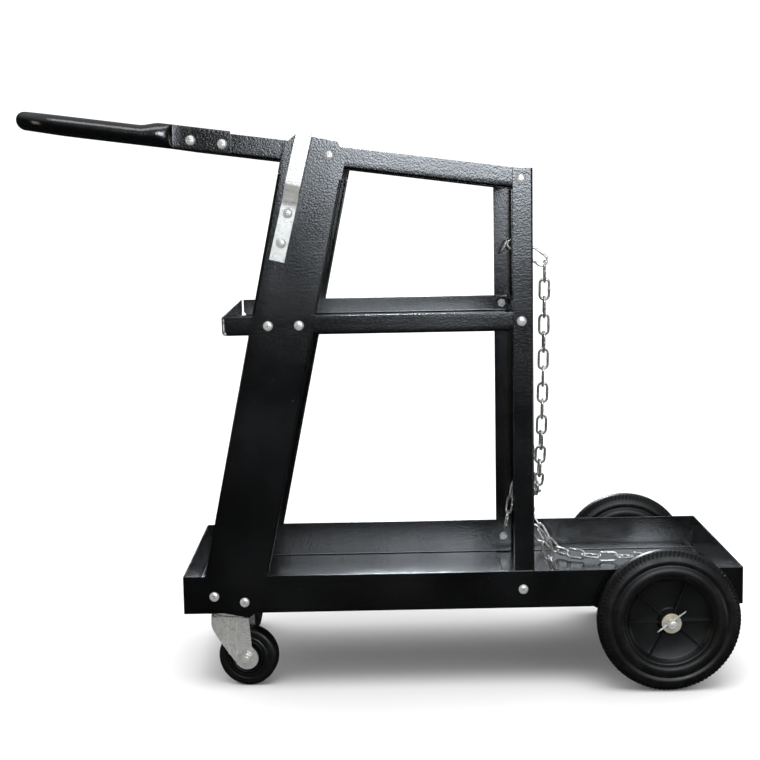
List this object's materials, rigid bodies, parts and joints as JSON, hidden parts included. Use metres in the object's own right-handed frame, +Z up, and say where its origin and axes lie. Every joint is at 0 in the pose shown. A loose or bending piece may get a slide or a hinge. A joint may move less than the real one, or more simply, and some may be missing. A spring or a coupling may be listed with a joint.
{
  "type": "welding cart",
  "caption": "Three-tier folded-steel welding cart with push handle, sloping top shelf, cylinder platform with safety chains, wheels and swivel casters.",
  "frame": {"origin": "centre of the cart's bounding box, at floor level", "axes": "+X from the push handle towards the cylinder platform, +Y across the cart away from the side with the torch hook, +Z up"},
  "size_m": [0.9026, 0.405, 0.7367],
  "materials": {
    "black_coat": "glossy black powder coat with a light orange-peel texture",
    "zinc": "bright zinc plate",
    "rubber": "matte black rubber",
    "black_plastic": "satin black moulded plastic"
  },
  "bodies": {
    "frame": {"anchor_link_far": "zinc", "anchor_link_near": "zinc", "axle": "zinc", "bolt_handle_far_1": "zinc", "bolt_handle_far_2": "zinc", "bolt_handle_near_1": "zinc", "bolt_handle_near_2": "zinc", "bolt_hook_near_1": "zinc", "bolt_hook_near_2": "zinc", "bolt_leg_low_far_1": "zinc", "bolt_leg_low_far_2": "zinc", "bolt_leg_low_near_1": "zinc", "bolt_leg_low_near_2": "zinc", "bolt_leg_mid_far_1": "zinc", "bolt_leg_mid_far_2": "zinc", "bolt_leg_mid_near_1": "zinc", "bolt_leg_mid_near_2": "zinc", "bolt_leg_top_far_1": "zinc", "bolt_leg_top_far_2": "zinc", "bolt_leg_top_near_1": "zinc", "bolt_leg_top_near_2": "zinc", "bolt_upright_low_far_1": "zinc", "bolt_upright_low_near_1": "zinc", "bolt_upright_mid_far_1": "zinc", "bolt_upright_mid_near_1": "zinc", "bolt_upright_top_far_1": "zinc", "bolt_upright_top_near_1": "zinc", "caster_plate_far": "zinc", "caster_plate_near": "zinc", "caster_race_far": "zinc", "caster_race_near": "zinc", "cotter_pin_far": "zinc", "cotter_pin_near": "zinc", "handle": "black_coat", "leg_far": "black_coat", "leg_near": "black_coat", "lower_chain": "zinc", "lower_tray": "black_coat", "middle_shelf": "black_coat", "platform_plate": "black_coat", "top_shelf": "black_coat", "torch_hook": "zinc", "upright_far": "black_coat", "upright_near": "black_coat", "washer_far": "zinc", "washer_near": "zinc"},
    "upper_chain": {"upper_chain": "zinc"},
    "rear_wheel_near": {"tyre_near": "rubber", "hub_near": "black_plastic"},
    "caster_swivel_near": {"caster_fork_near": "zinc", "caster_bolt_near": "zinc"},
    "caster_wheel_near": {"caster_tyre_near": "rubber", "caster_core_near": "black_plastic"},
    "rear_wheel_far": {"tyre_far": "rubber", "hub_far": "black_plastic"},
    "caster_swivel_far": {"caster_fork_far": "zinc", "caster_bolt_far": "zinc"},
    "caster_wheel_far": {"caster_tyre_far": "rubber", "caster_core_far": "black_plastic"}
  },
  "joints": [
    {"name": "rear_wheel_near_spin", "type": "hinge", "parent": "frame", "child": "rear_wheel_near", "pos_m": [0.353, -0.171, 0.0905], "axis": [0, 1, 0], "continuous": true},
    {"name": "rear_wheel_far_spin", "type": "hinge", "parent": "frame", "child": "rear_wheel_far", "pos_m": [0.353, 0.171, 0.0905], "axis": [0, 1, 0], "continuous": true},
    {"name": "caster_near_swivel", "type": "hinge", "parent": "frame", "child": "caster_swivel_near", "pos_m": [-0.2002, -0.113, 0.09], "axis": [0, 0, 1], "continuous": true},
    {"name": "caster_near_spin", "type": "hinge", "parent": "caster_swivel_near", "child": "caster_wheel_near", "pos_m": [-0.1801, -0.11582, 0.0382], "axis": [0.1392, 0.9903, 0], "continuous": true},
    {"name": "caster_far_swivel", "type": "hinge", "parent": "frame", "child": "caster_swivel_far", "pos_m": [-0.2002, 0.113, 0.09], "axis": [0, 0, 1], "continuous": true},
    {"name": "caster_far_spin", "type": "hinge", "parent": "caster_swivel_far", "child": "caster_wheel_far", "pos_m": [-0.19737, 0.1331, 0.0382], "axis": [-0.9903, 0.1392, 0], "continuous": true},
    {"name": "upper_chain_swing", "type": "hinge", "parent": "frame", "child": "upper_chain", "pos_m": [0.203, 0, 0.5395], "axis": [0, -1, 0], "range_deg": [0, 80]}
  ]
}
